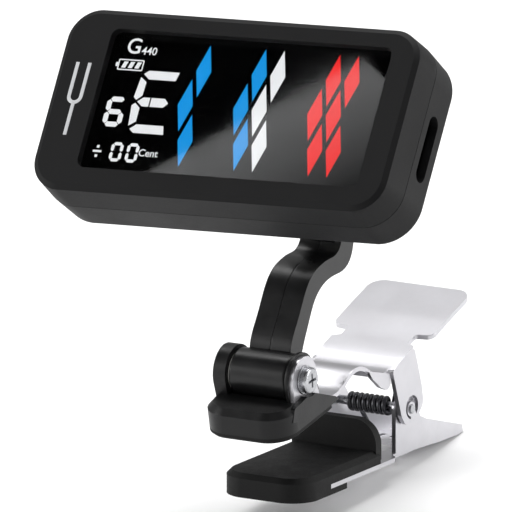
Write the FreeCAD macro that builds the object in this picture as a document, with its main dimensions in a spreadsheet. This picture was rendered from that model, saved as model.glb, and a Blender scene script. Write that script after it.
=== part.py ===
import FreeCAD, Part
import math
import os

from FreeCAD import Placement, Rotation, Vector

# Clip-on instrument tuner: a display head on a ball joint, an S-shaped arm and a sprung clip.
# Millimetres, +Z up, +Y towards the thumb tabs, X along the hinges.
# The origin is the centre of the lower pad's gripping face.

doc = FreeCAD.newDocument("clip_tuner")
os.makedirs("parts", exist_ok=True)

# ---------------------------------------------------------------- driving sizes
SIZES = {
    # hinge barrel that carries the arm
    "barrel_y": -11.0, "barrel_z": 18.85, "barrel_r": 4.34, "barrel_left": 5.7, "barrel_right": 5.8,
    "ear_r": 4.78, "left_ear_in": 6.05, "left_ear_thick": 2.5, "right_ear_in": 6.15,
    "right_ear_thick": 0.6, "shank_r": 1.25, "shank_clear": 0.05,
    # clip pivot
    "pivot_y": 23.8, "pivot_z": 3.25, "pin_r": 0.8, "pin_half": 8.9,
    "metal": 0.8,
    # lower lever, measured along its own plane
    "lower_slope": 4.4, "lower_y": 1.3, "lower_z": -2.95, "paddle_half": 9.0, "body_half": 7.4,
    
    # upper lever
    "upper_half": 7.5, "flange_out": 8.5, "upper_tab_half": 10.25,
    # jaw cover and pads
    "jaw_slope": 7.0, "jaw_y": -11.0, "jaw_z": 10.45, "jaw_len": 19.75, "jaw_half": 8.8,
    "upper_rubber": 1.0, "cover_top": 5.6, "upper_pad_end": 7.66, "pad_half": 9.0,
    "pad_front": -17.0, "pad_rear": 11.0, "pad_top": 2.842, "pad_low": 1.5, "pad_wall_top": 8.4,
    # arm
    "arm_half": 4.2, "seam_gap": 0.06, "ball_r": 4.6, "ball_clear": 0.05, "socket_r": 6.3,
    "liner": 0.5,
    # head shells
    "head_wide": 71.7, "head_high": 35.8, "bevel_in": 1.45, "bevel_depth": 0.55,
    "front_wall": 6.2, "rear_wall": 8.1, "flare": 0.5, "rear_taper": 0.15, "shell": 1.5, "corner": 7.0,
    "window_wide": 56.4, "window_high": 26.8, "lens_depth": 1.6, "lens_thick": 1.2,
    "head_tilt": 39.9, "head_roll": -3.1,
    "boss_r": 7.0, "boss_tall": 6.5, "stud_reach": 21.5,
    "button_r": 2.6, "button_travel": 0.4,
}
sheet = doc.addObject("Spreadsheet::Sheet", "Sizes")
for row, (alias, value) in enumerate(SIZES.items(), start=1):
    sheet.set("A%d" % row, alias)
    sheet.set("B%d" % row, str(value))
    sheet.setAlias("B%d" % row, alias)
doc.recompute()


def size(alias):
    """Return one driving size from the sheet."""
    return float(sheet.get(alias))


PARTS = []
X_AXIS, Y_AXIS, Z_AXIS = Vector(1, 0, 0), Vector(0, 1, 0), Vector(0, 0, 1)


# ---------------------------------------------------------------- helpers
def keep(obj, name, place=None):
    """Name a finished sub-part, place it and put it on the list of parts."""
    obj.Label = name
    if place is not None:
        obj.Placement = place
    PARTS.append((obj, name))
    return obj


def new_body(name):
    return doc.addObject("PartDesign::Body", "body_" + name)


def sketch(body, name, role, offset=0.0):
    """Attach a sketch to one of the body's origin planes, moved along its normal."""
    made = body.newObject("Sketcher::SketchObject", name)
    plane = [item for item in body.Origin.OriginFeatures if item.Role == role][0]
    made.AttachmentSupport = [(plane, "")]
    made.MapMode = "FlatFace"
    made.AttachmentOffset = Placement(Vector(0, 0, offset), Rotation())
    return made


def loop(sk, points):
    """Draw a closed polygon."""
    import Sketcher
    first = sk.GeometryCount
    pts = [Vector(x, y, 0) for x, y in points]
    lines = [Part.LineSegment(pts[i], pts[(i + 1) % len(pts)]) for i in range(len(pts))]
    sk.addGeometry(lines, False)
    for i in range(len(pts)):
        sk.addConstraint(Sketcher.Constraint("Coincident", first + i, 2, first + (i + 1) % len(pts), 1))


def ring(sk, x, y, radius_alias=None, radius=None):
    """Draw a circle whose radius follows the sheet when an alias is given."""
    import Sketcher
    value = size(radius_alias) if radius_alias else radius
    index = sk.addGeometry(Part.Circle(Vector(x, y, 0), Z_AXIS, value), False)
    dim = sk.addConstraint(Sketcher.Constraint("Radius", index, value))
    if radius_alias:
        sk.setExpression("Constraints[%d]" % dim, "Sizes." + radius_alias)


def rounded(points, radii):
    """Return the edges of a polygon with its corners rounded by arcs."""
    count = len(points)
    pts = [Vector(x, y, 0) for x, y in points]
    starts, ends, arcs = [], [], []
    for i in range(count):
        here, back, ahead = pts[i], pts[i - 1], pts[(i + 1) % count]
        r = radii[i] if isinstance(radii, (list, tuple)) else radii
        if r <= 0:
            starts.append(here)
            ends.append(here)
            arcs.append(None)
            continue
        u = (back - here).normalize()
        w = (ahead - here).normalize()
        half = u.getAngle(w) / 2
        reach = r / math.tan(half)
        bisector = (u + w).normalize()
        centre = here + bisector * (r / math.sin(half))
        begin, finish = here + u * reach, here + w * reach
        middle = centre - bisector * r
        starts.append(begin)
        ends.append(finish)
        arcs.append(Part.Arc(begin, middle, finish))
    edges = []
    for i in range(count):
        if arcs[i] is not None:
            edges.append(arcs[i])
        tail, head = ends[i], starts[(i + 1) % count]
        if tail.distanceToPoint(head) > 1e-6:
            edges.append(Part.LineSegment(tail, head))
    return edges


def outline(sk, points, radii=0.0):
    sk.addGeometry(rounded(points, radii), False)


def box_points(half_x, low_y, high_y, centre_x=0.0):
    return [(centre_x - half_x, low_y), (centre_x + half_x, low_y),
            (centre_x + half_x, high_y), (centre_x - half_x, high_y)]


def spline(points):
    curve = Part.BSplineCurve()
    curve.interpolate([Vector(x, y, 0) for x, y in points])
    return curve


def band(sk, middle, thick):
    """Draw the section of a bent sheet of one thickness about its middle line."""
    upper, lower = [], []
    base = Part.BSplineCurve()
    base.interpolate([Vector(x, y, 0) for x, y in middle])
    steps = 60
    for i in range(steps + 1):
        t = base.FirstParameter + (base.LastParameter - base.FirstParameter) * i / steps
        point = base.value(t)
        tangent = base.tangent(t)[0]
        normal = Vector(-tangent.y, tangent.x, 0)
        upper.append((point + normal * thick / 2)[:2])
        lower.append((point - normal * thick / 2)[:2])
    joined = [spline(upper), spline(lower)]
    sk.addGeometry(joined + [
        Part.LineSegment(Vector(*upper[0], 0), Vector(*lower[0], 0)),
        Part.LineSegment(Vector(*upper[-1], 0), Vector(*lower[-1], 0)),
    ], False)


def pad(body, sk, length=None, alias=None, symmetric=False, reverse=False, kind="Pad"):
    """Extrude or pocket a sketch."""
    made = body.newObject("PartDesign::" + kind, sk.Name + "_" + kind.lower())
    made.Profile = sk
    if symmetric:
        made.Midplane = True
    made.Reversed = reverse
    if alias:
        made.setExpression("Length", alias)
    else:
        made.Length = length
    sk.Visibility = False
    doc.recompute()
    return made


def cut(body, sk, length=None, alias=None, symmetric=True, reverse=False):
    before = body.Shape.Volume
    made = pad(body, sk, length, alias, symmetric, reverse, "Pocket")
    if abs(body.Shape.Volume - before) < 1e-6 and not symmetric:
        made.Reversed = not made.Reversed
        doc.recompute()
    if abs(body.Shape.Volume - before) < 1e-6:
        raise RuntimeError("pocket %s removed nothing" % made.Name)
    return made


def dress(body, kind, amount, chosen, name):
    """Fillet or chamfer the edges that a test picks out."""
    base = body.Tip
    names = ["Edge%d" % (i + 1) for i, edge in enumerate(base.Shape.Edges) if chosen(edge)]
    if not names:
        raise RuntimeError("no edge for " + name)
    made = body.newObject("PartDesign::" + kind, name)
    made.Base = (base, names)
    if kind == "Fillet":
        made.Radius = amount
    else:
        made.Size = amount
    doc.recompute()
    if not made.isValid() or made.Shape.isNull():
        raise RuntimeError("edge work failed on " + name)
    return made


def cylinder(name, radius_alias, length, place):
    made = doc.addObject("Part::Cylinder", name)
    if isinstance(radius_alias, str):
        made.setExpression("Radius", radius_alias)
    else:
        made.Radius = radius_alias
    made.Height = length
    made.Placement = place
    return made


def fuse(name, items):
    made = doc.addObject("Part::MultiFuse", name)
    made.Shapes = items
    doc.recompute()
    return made


def subtract(name, base, tool):
    made = doc.addObject("Part::Cut", name)
    made.Base = base
    made.Tool = tool
    doc.recompute()
    return made


def along_x(x, y, z):
    """Place a cylinder so that it runs in +X from a point."""
    return Placement(Vector(x, y, z), Rotation(Y_AXIS, 90))


BY, BZ = size("barrel_y"), size("barrel_z")
PY, PZ = size("pivot_y"), size("pivot_z")


def from_barrel(points):
    """Move points given from the barrel's axis into the object's frame."""
    return [(y + BY, z + BZ) for y, z in points]


# ---------------------------------------------------------------- lower jaw
lower_place = Placement(Vector(0, size("lower_y"), size("lower_z")), Rotation(X_AXIS, -size("lower_slope")))

body = new_body("lower_plate")
plan = sketch(body, "lower_plan", "XY_Plane")
paddle, waist = size("paddle_half"), size("body_half")
right_side = [(paddle, -12.2), (paddle, 15.9), (waist, 17.0), (waist, 27.0)]
left_side = [(-x, y) for x, y in reversed(right_side)]
outline(plan, right_side + left_side, [5.0, 2.0, 0.8, 0, 0, 0.8, 2.0, 5.0])
pad(body, plan, alias="Sizes.metal", symmetric=True)
flange = [(18.3, 0.0), (18.3, 9.0), (20.4, 10.6), (23.6, 10.6), (25.4, 8.6), (27.6, 4.4), (27.6, 0.0)]
for mark, offset in (("right", waist - size("metal")), ("left", -waist)):
    side = sketch(body, "lower_flange_" + mark, "YZ_Plane", offset)
    outline(side, flange, [0, 1.2, 2.2, 2.2, 3.0, 1.2, 0])
    pad(body, side, alias="Sizes.metal")
drill = sketch(body, "lower_pin_hole", "YZ_Plane")
ring(drill, 21.96, 7.91, "pin_r")
cut(body, drill, length=30)
window = sketch(body, "lower_window", "XY_Plane")
outline(window, box_points(4.6, 18.6, 26.0), 1.2)
cut(body, window, length=6)
doc.recompute()
body.Placement = lower_place
doc.recompute()


def prism_x(points, half):
    """A solid with a side outline, running from -half to half along X."""
    wire = Part.makePolygon([Vector(-half, y, z) for y, z in points + points[:1]])
    return Part.Face(wire).extrude(Vector(2 * half, 0, 0))


def prism_z(points, low, high):
    """A solid with a plan outline, standing from one height to another."""
    wire = Part.makePolygon([Vector(x, y, low) for x, y in points + points[:1]])
    return Part.Face(wire).extrude(Vector(0, 0, high - low))


def tail_solid(inset, lift):
    """The tail's block: its side outline and its tapering plan, inset by the sheet on request."""
    low_line = [(27.0, -5.33), (32.6, -6.2), (36.2, -6.95), (45.8, -8.5), (49.6, -8.6)]
    top_line = [(49.6, -7.85), (31.4, -0.95), (28.2, 0.7), (27.0, 1.0)]
    side_points = [(y, z + lift) for y, z in low_line] + [(y, z + lift) for y, z in top_line]
    plan_half = [(waist - inset, 26.9), (7.1 - inset, 31.0), (4.6 - inset, 48.0), (3.6 - inset, 49.6 + lift)]
    plan_points = plan_half + [(-x, y) for x, y in reversed(plan_half)]
    return prism_x(side_points, 9.0).common(prism_z(plan_points, -12, 12))


tail = tail_solid(0.0, 0.0).cut(tail_solid(size("metal"), size("metal")))
slots = [Part.makeBox(0.9, 2.4, 6, Vector(x - 0.45, 30.6, -10)) for x in (-2.6, 0.0, 2.6)]
lower_lever = doc.addObject("Part::Feature", "lower_lever_shape")
lower_lever.Shape = body.Shape.fuse(tail.cut(slots)).removeSplitter()
keep(lower_lever, "lower_lever")

body = new_body("lower_pad")
plan = sketch(body, "pad_plan", "XY_Plane", -size("pad_low"))
grip_half = size("pad_half")
outline(plan, box_points(grip_half, size("pad_front"), size("pad_rear")), [5.2, 5.2, 1.0, 1.0])
pad(body, plan, alias="Sizes.pad_low + Sizes.pad_top")
dress(body, "Chamfer", 0.9, lambda e: e.BoundBox.ZMin > size("pad_top") - 0.01 and e.BoundBox.YMin < 9.0, "pad_rim")
wall = sketch(body, "pad_wall", "XZ_Plane", -size("pad_rear"))
outline(wall, box_points(grip_half - 0.3, 1.0, size("pad_wall_top")), [0, 0, 4.6, 4.6])
pad(body, wall, length=1.9)
under = sketch(body, "pad_under", "YZ_Plane")
outline(under, [(-1.6, -3.0), (14.0, -3.0), (14.0, 0.0), (-1.6, 0.0)])
cut(body, under, length=30)
doc.recompute()
body.Placement = lower_place
doc.recompute()
lower_rubber = doc.addObject("Part::Feature", "lower_pad_shape")
rubber_left = body.Shape.cut(lower_lever.Shape)
lower_rubber.Shape = sorted(rubber_left.Solids, key=lambda s: s.Volume)[-1]
keep(lower_rubber, "lower_pad")

keep(cylinder("pin", "Sizes.pin_r", 2 * size("pin_half"), along_x(-size("pin_half"), PY, PZ)), "pivot_pin")

# ---------------------------------------------------------------- torsion spring
WIRE_R, COIL_R, COIL_HALF = 0.44, 1.34, 4.0
LEG_DOWN, LEG_UP = math.radians(55), math.radians(65)
TURNS = 8 - (math.pi - LEG_DOWN - LEG_UP) / (2 * math.pi)
LOWER_LEG, UPPER_LEG = 9.8, 13.4
def wire_point(turned):
    """A point of the coil's centre line after some radians of winding."""
    return Vector(COIL_R * math.cos(turned), COIL_R * math.sin(turned), 2 * COIL_HALF * turned / END_ANGLE)


END_ANGLE = 2 * math.pi * TURNS
steps = int(TURNS * 24)
path = [wire_point(END_ANGLE * i / steps) for i in range(steps + 1)]
tangent = Vector(-math.sin(END_ANGLE), math.cos(END_ANGLE), 0)
lower_run = [path[0] - Y_AXIS * (LOWER_LEG * i / 8) for i in range(8, 0, -1)]
upper_run = [path[-1] + tangent * (UPPER_LEG * i / 10) for i in range(1, 11)]
centre_line = Part.BSplineCurve()
centre_line.interpolate(lower_run + path + upper_run)
profile = Part.Wire(Part.makeCircle(WIRE_R, lower_run[0], Y_AXIS))
spring_part = doc.addObject("Part::Feature", "spring_shape")
spring_part.Shape = Part.Wire(centre_line.toShape()).makePipeShell([profile], True, False)
spring_turn = Rotation(X_AXIS, 90 - math.degrees(LEG_DOWN)) * Rotation(Vector(1, 1, 1), 120)
keep(spring_part, "torsion_spring", Placement(Vector(-COIL_HALF, PY, PZ), spring_turn))

# ---------------------------------------------------------------- upper jaw
body = new_body("upper_lever")
profile = sketch(body, "upper_profile", "YZ_Plane")
middle = [(-14.8, 11.5), (-8.0, 12.25), (-3.5, 12.85), (-0.5, 12.8), (2.0, 13.45), (4.5, 14.75), (7.0, 15.35),
          (9.5, 14.75), (12.3, 13.0), (15.0, 11.85), (18.0, 11.75), (21.0, 12.7), (24.8, 13.85), (29.9, 15.3),
          (34.9, 16.75), (40.0, 18.1), (44.4, 19.25)]
band(profile, middle, size("metal"))
pad(body, profile, length=21.0, symmetric=True)
trim = sketch(body, "upper_trim", "XY_Plane", 8.0)
wide, narrow, lug = size("upper_tab_half"), size("upper_half"), size("flange_out")
edge = [(narrow, -13.6), (narrow, 18.0), (lug, 18.4), (lug, 25.6), (6.9, 26.2), (6.9, 29.0), (wide, 29.3), (wide, 44.0)]
corner = [5.4, 0, 0.3, 0.3, 0.6, 0.6, 1.4, 2.8]
outer = [(x, y) for x, y in edge] + [(-x, y) for x, y in reversed(edge)]
frame = [(-15, -20), (15, -20), (15, 50), (-15, 50)]
loop(trim, frame)
outline(trim, outer, corner + list(reversed(corner)))
cut(body, trim, length=60)
flange = [(18.0, 11.7), (20.3, 2.9), (21.6, 0.75), (25.4, 0.75), (28.2, 3.2), (27.8, 6.6), (26.8, 10.6), (25.8, 14.0),
          (21.0, 12.6)]
for mark, offset in (("right", lug - size("metal")), ("left", -lug)):
    side = sketch(body, "upper_flange_" + mark, "YZ_Plane", offset)
    outline(side, flange, [0.4, 1.0, 1.6, 1.6, 1.8, 3.0, 3.0, 0.4, 0])
    pad(body, side, alias="Sizes.metal")
lobe = [(10.4, 14.1), (17.7, 11.6), (17.9, 9.4), (16.6, 8.8), (14.4, 9.9), (11.6, 12.4)]
for mark, offset in (("right", narrow - 0.3), ("left", -narrow - 0.5)):
    side = sketch(body, "upper_lobe_" + mark, "YZ_Plane", offset)
    outline(side, lobe, [0.2, 0.2, 0.9, 0.9, 1.6, 1.6])
    pad(body, side, alias="Sizes.metal")
drill = sketch(body, "upper_opening", "YZ_Plane")
ring(drill, PY + 0.3, PZ + 0.25, radius=2.15)
cut(body, drill, length=30)
for mark, offset in (("right", lug - size("metal")), ("left", -lug)):
    side = sketch(body, "knuckle_" + mark, "YZ_Plane", offset)
    outline(side, [(PY + 1.35 * math.cos(a), PZ + 1.35 * math.sin(a)) for a in
                   [math.radians(18 * i) for i in range(20)]])
    pad(body, side, alias="Sizes.metal")
    web = sketch(body, "tongue_" + mark, "YZ_Plane", offset)
    outline(web, [(PY - 0.2, PZ - 0.9), (PY + 1.2, PZ - 0.4), (PY + 2.0, PZ - 1.9), (PY - 0.4, PZ - 2.2)])
    pad(body, web, alias="Sizes.metal")
bore = sketch(body, "knuckle_bore", "YZ_Plane")
ring(bore, PY, PZ, radius=size("pin_r") + 0.05)
cut(body, bore, length=30)
ear_r = size("ear_r") - 0.55
ear_in = size("right_ear_in") + size("right_ear_thick")
side = sketch(body, "metal_ear", "YZ_Plane", ear_in)
ear = [(BY - 3.6, 11.5)] + [(BY + ear_r * math.cos(a), BZ + ear_r * math.sin(a)) for a in
                                   [math.radians(200 - 22 * i) for i in range(11)]] + [(BY + 5.6, 12.6)]
outline(side, ear)
pad(body, side, alias="Sizes.metal")
bridge = sketch(body, "ear_bridge", "YZ_Plane", size("upper_half") - 1.0)
outline(bridge, [(BY - 3.6, 11.15), (BY + 5.6, 12.22), (BY + 5.6, 13.02), (BY - 3.6, 11.95)])
pad(body, bridge, length=ear_in + size("metal") - size("upper_half") + 1.0)
drill = sketch(body, "ear_hole", "YZ_Plane", ear_in - 0.5)
ring(drill, BY, BZ, radius=size("shank_r") + 0.05)
cut(body, drill, length=3.0, symmetric=False)
keep(body, "upper_lever")

jaw_place = Placement(Vector(0, size("jaw_y"), size("jaw_z")), Rotation(X_AXIS, size("jaw_slope")))
jaw_turn = math.radians(size("jaw_slope"))


def in_jaw(y, z):
    """Turn a point of the object's frame into the sloping jaw's own frame."""
    dy, dz = y - size("jaw_y"), z - size("jaw_z")
    return (dy * math.cos(jaw_turn) + dz * math.sin(jaw_turn), -dy * math.sin(jaw_turn) + dz * math.cos(jaw_turn))


body = new_body("upper_pad")
half_len = size("jaw_len") / 2
plan = sketch(body, "upper_pad_plan", "XY_Plane")
outline(plan, box_points(size("jaw_half"), -half_len, size("upper_pad_end")), [5.2, 5.2, 1.0, 1.0])
pad(body, plan, alias="Sizes.upper_rubber")
dress(body, "Chamfer", 0.45, lambda e: e.BoundBox.ZMax < 0.01, "upper_pad_rim")
doc.recompute()
body.Placement = jaw_place
doc.recompute()
upper_solid = [obj for obj, name in PARTS if name == "upper_lever"][0].Shape
upper_rubber = doc.addObject("Part::Feature", "upper_pad_shape")
upper_rubber.Shape = sorted(body.Shape.cut(upper_solid).Solids, key=lambda s: s.Volume)[-1]
keep(upper_rubber, "upper_pad")

body = new_body("jaw_cover")
plan = sketch(body, "cover_plan", "XY_Plane", size("upper_rubber"))
outline(plan, box_points(size("jaw_half"), -half_len, half_len), [5.2, 5.2, 1.6, 1.6])
pad(body, plan, alias="Sizes.cover_top - Sizes.upper_rubber")
dress(body, "Chamfer", 1.1, lambda e: e.BoundBox.ZMin > size("cover_top") - 0.01, "cover_rim")
by, bz = in_jaw(BY, BZ)


def ear_outline(front, rear, foot):
    arc = [(by + size("ear_r") * math.cos(a), bz + size("ear_r") * math.sin(a)) for a in
           [math.radians(190 - 10 * i) for i in range(21)]]
    return [(by - front, foot)] + arc + [(by + rear, foot)]


wedge = sketch(body, "cover_slope", "YZ_Plane")
outline(wedge, [in_jaw(*p) for p in from_barrel([(1.2, -2.9), (9.6, -6.0), (14.0, -6.0), (14.0, 2.0), (1.2, 2.0)])])
cut(body, wedge, length=40)
side = sketch(body, "right_wall", "YZ_Plane", ear_in + size("metal") + 0.03)
wall_line = [(-6.6, -6.0), (-5.9, -3.7), (0.3, -2.3), (8.4, -5.4), (9.2, -6.2), (0.0, -7.0)]
outline(side, [in_jaw(*p) for p in from_barrel(wall_line)], [0, 0.6, 3.0, 0.6, 0, 0])
pad(body, side, length=size("jaw_half") - ear_in - size("metal") - 0.03)
side = sketch(body, "left_ear", "YZ_Plane", -size("left_ear_in") - size("left_ear_thick"))
outline(side, ear_outline(4.2, 5.6, size("cover_top") - 1.6))
pad(body, side, alias="Sizes.left_ear_thick")
side = sketch(body, "right_ear", "YZ_Plane", size("right_ear_in"))
outline(side, ear_outline(4.2, 5.6, size("cover_top") - 1.6))
pad(body, side, alias="Sizes.right_ear_thick")
trough = sketch(body, "barrel_trough", "YZ_Plane", -size("left_ear_in"))
ring(trough, by, bz, radius=size("barrel_r") + 0.3)
cut(body, trough, length=size("left_ear_in") + size("right_ear_in"), symmetric=False, reverse=True)
window_y = in_jaw(BY + 4.2, BZ - 5.0)[0]
glint = sketch(body, "cover_window", "XY_Plane", size("cover_top") + 0.5)
outline(glint, box_points(2.6, window_y, window_y + 4.4, -3.4), 0.5)
cut(body, glint, length=size("cover_top") - size("upper_rubber") + 0.2, symmetric=False)
drill = sketch(body, "cover_hole", "YZ_Plane")
ring(drill, by, bz, radius=size("shank_r") + 0.05)
cut(body, drill, length=40)
seat = sketch(body, "washer_seat", "YZ_Plane", ear_in + size("metal"))
ring(seat, by, bz, radius=3.0)
cut(body, seat, length=5, symmetric=False, reverse=True)
nut = sketch(body, "nut_pocket", "YZ_Plane", -size("left_ear_in") - size("left_ear_thick") - 0.01)
NUT_ACROSS, NUT_THICK = 5.0, 1.6
nut_r = NUT_ACROSS / math.sqrt(3)
loop(nut, [(by + (nut_r + 0.03) * math.cos(math.radians(60 * i)), bz + (nut_r + 0.03) * math.sin(math.radians(60 * i)))
           for i in range(6)])
cut(body, nut, length=NUT_THICK + 0.25, symmetric=False, reverse=True)
doc.recompute()
body.Placement = jaw_place
doc.recompute()
cover = doc.addObject("Part::Feature", "jaw_cover_shape")
cover.Shape = sorted(body.Shape.cut(upper_solid).Solids, key=lambda s: s.Volume)[-1]
keep(cover, "jaw_cover")

outer_ear = ear_in + size("metal")
head_of = cylinder("screw_head", 2.35, 1.25, along_x(outer_ear + 0.33, BY, BZ))
shank = cylinder("screw_shank", "Sizes.shank_r", outer_ear + 0.6 + 8.3, along_x(-8.3, BY, BZ))
screw_raw = fuse("screw_raw", [head_of, shank])
dome = doc.addObject("Part::Fillet", "screw_dome")
dome.Base = screw_raw
top_edges = [(i + 1, 0.5, 0.5) for i, e in enumerate(screw_raw.Shape.Edges)
             if e.BoundBox.XMin > outer_ear + 1.5 and len(e.Vertexes) == 1]
dome.Edges = top_edges
doc.recompute()
cross_a = doc.addObject("Part::Box", "cross_a")
cross_a.Length, cross_a.Width, cross_a.Height = 1.2, 0.5, 2.6
cross_a.Placement = Placement(Vector(outer_ear + 0.85, BY - 0.25, BZ - 1.3), Rotation())
cross_b = doc.addObject("Part::Box", "cross_b")
cross_b.Length, cross_b.Width, cross_b.Height = 1.2, 2.6, 0.5
cross_b.Placement = Placement(Vector(outer_ear + 0.85, BY - 1.3, BZ - 0.25), Rotation())
cross = fuse("cross_recess", [cross_a, cross_b])
keep(subtract("hinge_screw_cut", dome, cross), "hinge_screw")

washer = subtract("washer_cut", cylinder("washer_disc", 2.6, 0.3, along_x(outer_ear + 0.03, BY, BZ)),
                  cylinder("washer_hole", size("shank_r") + 0.05, 2.0, along_x(outer_ear - 0.5, BY, BZ)))
keep(washer, "hinge_washer")

nut_prism = doc.addObject("Part::Prism", "nut_prism")
nut_prism.Polygon = 6
nut_prism.Circumradius = nut_r
nut_prism.Height = NUT_THICK
tilt = Rotation(X_AXIS, size("jaw_slope"))
nut_prism.Placement = Placement(Vector(-size("left_ear_in") - size("left_ear_thick") + 0.1, BY, BZ),
                                tilt * Rotation(Y_AXIS, 90) * Rotation(Z_AXIS, 90))
nut_bore = cylinder("nut_bore", size("shank_r") + 0.01, 4.0, along_x(-10, BY, BZ))
keep(subtract("nut_cut", nut_prism, nut_bore), "hinge_nut")

rings = []
for mark, x in (("left", -size("barrel_left") - 0.3), ("right", size("barrel_right") + 0.05)):
    disc = cylinder("fibre_%s" % mark, 3.7, 0.25, along_x(x, BY, BZ))
    hole = cylinder("fibre_hole_%s" % mark, size("shank_r") + 0.05, 1.0, along_x(x - 0.3, BY, BZ))
    rings.append(subtract("fibre_ring_%s" % mark, disc, hole))
pair = doc.addObject("Part::Compound", "fibre_pair")
pair.Links = rings
doc.recompute()
keep(pair, "friction_washers")

# ---------------------------------------------------------------- head placement
tilt_rad = math.radians(size("head_tilt"))
head_turn = Rotation(X_AXIS, -size("head_tilt")) * Rotation(Y_AXIS, size("head_roll"))
HEAD_CENTRE_X = -1.65
HEAD_ORIGIN = Vector(1.65, -21.27, 71.4)
head_place = Placement(HEAD_ORIGIN, head_turn)
depth = size("bevel_depth") + size("front_wall") + size("rear_wall")
ball_centre = head_place.multVec(Vector(HEAD_CENTRE_X, depth + size("stud_reach"), 1.0))
C_Y, C_Z = ball_centre.y, ball_centre.z

# ---------------------------------------------------------------- arm
front_line = from_barrel([(1.1, 4.4), (4.2, 9.5), (6.3, 12.6), (8.3, 15.0), (10.4, 16.4), (12.8, 17.1), (15.6, 17.4),
                          (18.4, 17.6)])
rear_line = from_barrel([(4.9, 2.6), (8.2, 8.4), (9.9, 10.9), (11.9, 12.6), (14.0, 13.5), (17.0, 13.9), (20.0, 13.9),
                         (22.2, 14.6), (23.7, 16.2), (24.5, 18.4)])


def arm_section(sk, fork=False):
    """Draw the arm's side view from the barrel to the ball socket."""
    top_front = (C_Y - 2.0, C_Z - 5.2)
    top_rear = (C_Y + 5.6, C_Z - 2.0)
    shelf = (front_line[-1][0] + 1.6, front_line[-1][1] + 1.4)
    edges = [spline([(BY + 1.0, BZ + 3.4)] + front_line + [shelf, (shelf[0] + 0.3, shelf[1] + 2.4),
                                                            (C_Y - 0.5, C_Z - 3.0)]),
             spline([(BY + 4.4, BZ + 1.2)] + rear_line + [(BY + 24.6, BZ + 21.5), (C_Y + 5.1, C_Z - 1.5)])]
    first = edges[0].value(edges[0].FirstParameter)
    last = edges[1].value(edges[1].FirstParameter)
    tip_a = edges[0].value(edges[0].LastParameter)
    tip_b = edges[1].value(edges[1].LastParameter)
    sk.addGeometry(edges + [Part.LineSegment(first, last), Part.LineSegment(tip_a, tip_b)], False)


stem_dir = head_turn.multVec(Vector(0, -1, 0))
for mark, sign in (("left", -1), ("right", 1)):
    body = new_body("arm_" + mark)
    gap = size("seam_gap") / 2
    half = size("arm_half")
    offset = gap if sign > 0 else -half
    side = sketch(body, "arm_side_" + mark, "YZ_Plane", offset)
    arm_section(side)
    pad(body, side, length=half - gap)
    cup = sketch(body, "cup_" + mark, "YZ_Plane", gap if sign > 0 else -5.4)
    ring(cup, C_Y, C_Z, "socket_r")
    pad(body, cup, length=5.4 - gap)
    recess = sketch(body, "fork_" + mark, "YZ_Plane", 0.0)
    outline(recess, [(BY + 17.0, BZ + 19.0), (BY + 22.6, BZ + 19.0), (BY + 23.0, BZ + 21.5), (C_Y + 2.6, C_Z),
                     (C_Y - 8.0, C_Z), (C_Y - 8.0, C_Z - 3.0)])
    cut(body, recess, length=5.8)
    doc.recompute()
    shape = body.Shape.copy()
    # spherical seat, mouth for the stem, and the barrel's own hollow at the foot
    seat = Part.makeSphere(size("ball_r") + size("liner") + size("ball_clear"), ball_centre)
    mouth = Part.makeCone(2.2, 12.5, 12.0, ball_centre, stem_dir)
    barrel_space = Part.makeCylinder(size("barrel_r"), 30, Vector(-15, BY, BZ), X_AXIS)
    shape = shape.cut([seat, mouth, barrel_space])
    solids = sorted(shape.Solids, key=lambda s: s.Volume)
    arm = doc.addObject("Part::Feature", "arm_shape_" + mark)
    arm.Shape = solids[-1]
    keep(arm, "arm_%s_half" % mark)

barrel_len = size("barrel_left") + size("barrel_right")
barrel_raw = cylinder("barrel_raw", "Sizes.barrel_r", barrel_len, along_x(-size("barrel_left"), BY, BZ))
barrel_bore = cylinder("barrel_bore", size("shank_r") + size("shank_clear"), 40, along_x(-20, BY, BZ))
keep(subtract("barrel_cut", barrel_raw, barrel_bore), "hinge_barrel")

liner_outer = Part.makeSphere(size("ball_r") + size("liner") + 0.04, ball_centre)
liner_inner = Part.makeSphere(size("ball_r") + size("ball_clear"), ball_centre)
mouth = Part.makeCone(2.2, 12.5, 12.0, ball_centre, stem_dir)
liner_shape = liner_outer.cut([liner_inner, mouth])
split = Part.makeBox(0.6, 40, 40, Vector(-0.3, C_Y - 20, C_Z - 20))
liner_shape = liner_shape.cut(split)
liner = doc.addObject("Part::Feature", "liner_shape")
liner.Shape = Part.makeCompound(sorted(liner_shape.Solids, key=lambda s: s.Volume)[-2:])
keep(liner, "socket_liners")

# two screws that hold the arm's halves together, in from the left
screw_spots = from_barrel([(7.9, 11.2), (21.6, 16.6)])
arm_holes, arm_screws = [], []
for spot_y, spot_z in screw_spots:
    body_cyl = Part.makeCylinder(0.55, 6.6, Vector(2.9, spot_y, spot_z), -X_AXIS)
    cap_cyl = Part.makeCylinder(1.1, 0.7, Vector(-3.3, spot_y, spot_z), -X_AXIS)
    arm_screws.append(body_cyl.fuse(cap_cyl))
    arm_holes.append(Part.makeCylinder(0.6, 6.3, Vector(3.0, spot_y, spot_z), -X_AXIS))
    arm_holes.append(Part.makeCylinder(1.15, 1.2, Vector(-3.25, spot_y, spot_z), -X_AXIS))
for obj, name in PARTS:
    if name in ("arm_left_half", "arm_right_half"):
        obj.Shape = obj.Shape.cut(arm_holes)
screws = doc.addObject("Part::Feature", "arm_screw_shapes")
screws.Shape = Part.makeCompound(arm_screws)
keep(screws, "arm_screws")

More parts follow.
